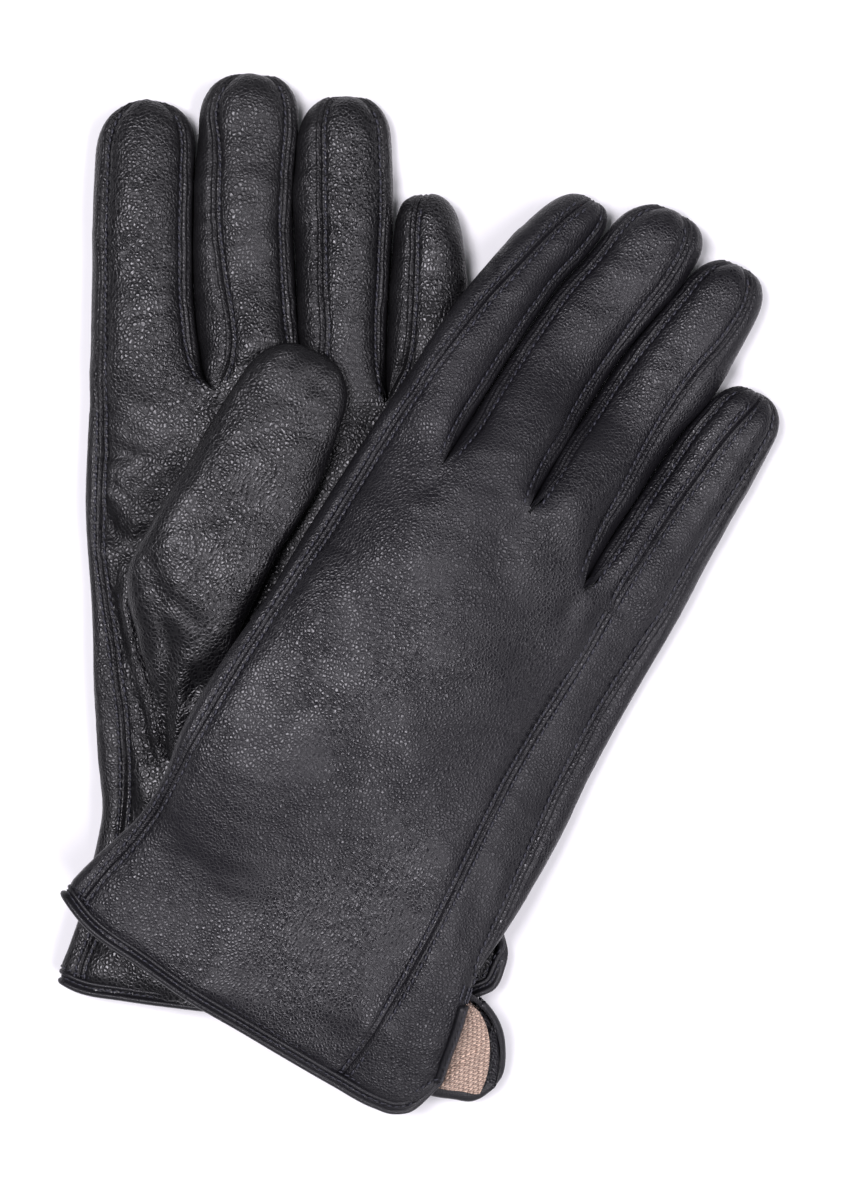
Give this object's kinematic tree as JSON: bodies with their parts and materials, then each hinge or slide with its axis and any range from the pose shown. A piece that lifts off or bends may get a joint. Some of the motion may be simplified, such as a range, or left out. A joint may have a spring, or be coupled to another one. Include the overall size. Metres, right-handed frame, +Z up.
{
  "type": "pair of leather dress gloves",
  "caption": "Pair of lined black leather dress gloves, the right glove lying back up across the left one, which lies palm up with its thumb folded over.",
  "frame": {"origin": "middle of the footprint of the pair, on the surface that it lies on", "axes": "+Y along the left glove from its cuff to its fingertips, +Z up"},
  "size_m": [0.1962, 0.2864, 0.0366],
  "materials": {
    "grain_leather": "soft satin grain",
    "side_leather": "soft satin grain",
    "binding_leather": "smooth satin",
    "knit_lining": "fine rib knit",
    "thread": "waxed thread"
  },
  "bodies": {
    "left_hand": {"left_back_panel": "grain_leather", "left_index_side_panel": "side_leather", "left_palm_panel": "grain_leather", "left_little_side_panel": "side_leather", "left_cuff_binding": "binding_leather", "left_hand_lining": "knit_lining", "left_thumb_quirk": "side_leather"},
    "left_thumb": {"left_thumb": "grain_leather", "left_thumb_lining": "knit_lining"},
    "left_index_finger": {"left_index_finger_back": "grain_leather", "left_index_finger_side_strip": "side_leather", "left_index_finger_palm": "grain_leather", "left_index_finger_fourchette": "side_leather", "left_index_finger_lining": "knit_lining"},
    "left_middle_finger": {"left_middle_finger_back": "grain_leather", "left_middle_finger_index_side_fourchette": "side_leather", "left_middle_finger_palm": "grain_leather", "left_middle_finger_ring_side_fourchette": "side_leather", "left_middle_finger_lining": "knit_lining"},
    "left_ring_finger": {"left_ring_finger_back": "grain_leather", "left_ring_finger_middle_side_fourchette": "side_leather", "left_ring_finger_palm": "grain_leather", "left_ring_finger_little_side_fourchette": "side_leather", "left_ring_finger_lining": "knit_lining"},
    "left_little_finger": {"left_little_finger_side_strip": "side_leather", "left_little_finger_back": "grain_leather", "left_little_finger_fourchette": "side_leather", "left_little_finger_palm": "grain_leather", "left_little_finger_lining": "knit_lining"},
    "right_hand": {"right_back_panel": "grain_leather", "right_index_side_panel": "side_leather", "right_palm_panel": "grain_leather", "right_little_side_panel": "side_leather", "right_cuff_binding": "binding_leather", "right_hand_lining": "knit_lining", "right_thumb_quirk": "side_leather", "right_thumb": "grain_leather", "right_thumb_lining": "knit_lining"},
    "right_index_finger": {"right_index_finger_back": "grain_leather", "right_index_finger_side_strip": "side_leather", "right_index_finger_palm": "grain_leather", "right_index_finger_fourchette": "side_leather", "right_index_finger_lining": "knit_lining"},
    "right_middle_finger": {"right_middle_finger_back": "grain_leather", "right_middle_finger_index_side_fourchette": "side_leather", "right_middle_finger_palm": "grain_leather", "right_middle_finger_ring_side_fourchette": "side_leather", "right_middle_finger_lining": "knit_lining"},
    "right_ring_finger": {"right_ring_finger_back": "grain_leather", "right_ring_finger_middle_side_fourchette": "side_leather", "right_ring_finger_palm": "grain_leather", "right_ring_finger_little_side_fourchette": "side_leather", "right_ring_finger_lining": "knit_lining"},
    "right_little_finger": {"right_little_finger_side_strip": "side_leather", "right_little_finger_back": "grain_leather", "right_little_finger_fourchette": "side_leather", "right_little_finger_palm": "grain_leather", "right_little_finger_lining": "knit_lining"}
  },
  "joints": [
    {"name": "right_glove_lift", "type": "slide", "parent": "left_hand", "child": "right_hand", "axis": [0, 0, 1], "range_m": [0, 0.12]},
    {"name": "left_index_bend", "type": "hinge", "parent": "left_hand", "child": "left_index_finger", "pos_m": [-0.07549, 0.05125, 0.0125], "axis": [0.999, 0.0436, 0], "range_deg": [0, 75]},
    {"name": "left_middle_bend", "type": "hinge", "parent": "left_hand", "child": "left_middle_finger", "pos_m": [-0.04591, 0.06956, 0.0125], "axis": [0.999, 0.0436, 0], "range_deg": [0, 75]},
    {"name": "left_ring_bend", "type": "hinge", "parent": "left_hand", "child": "left_ring_finger", "pos_m": [-0.02208, 0.0706, 0.0125], "axis": [0.999, 0.0436, 0], "range_deg": [0, 75]},
    {"name": "left_little_bend", "type": "hinge", "parent": "left_hand", "child": "left_little_finger", "pos_m": [-0.00041, 0.08656, 0.0125], "axis": [0.999, 0.0436, 0], "range_deg": [0, 60]},
    {"name": "left_thumb_swing", "type": "hinge", "parent": "left_hand", "child": "left_thumb", "pos_m": [-0.06451, -0.00082, 0.0241], "axis": [0.9026, -0.4305, 0], "range_deg": [0, 80]},
    {"name": "right_index_bend", "type": "hinge", "parent": "right_hand", "child": "right_index_finger", "pos_m": [-0.00658, 0.03837, 0.03209], "axis": [0.8788, -0.4772, 0], "range_deg": [0, 40]},
    {"name": "right_middle_bend", "type": "hinge", "parent": "right_hand", "child": "right_middle_finger", "pos_m": [0.01623, 0.02882, 0.03343], "axis": [0.8788, -0.4772, 0], "range_deg": [0, 40]},
    {"name": "right_ring_bend", "type": "hinge", "parent": "right_hand", "child": "right_ring_finger", "pos_m": [0.0328, 0.00674, 0.03001], "axis": [0.8788, -0.4772, 0], "range_deg": [0, 40]},
    {"name": "right_little_bend", "type": "hinge", "parent": "right_hand", "child": "right_little_finger", "pos_m": [0.05434, -0.00723, 0.02145], "axis": [0.8788, -0.4772, 0], "range_deg": [0, 40]}
  ]
}
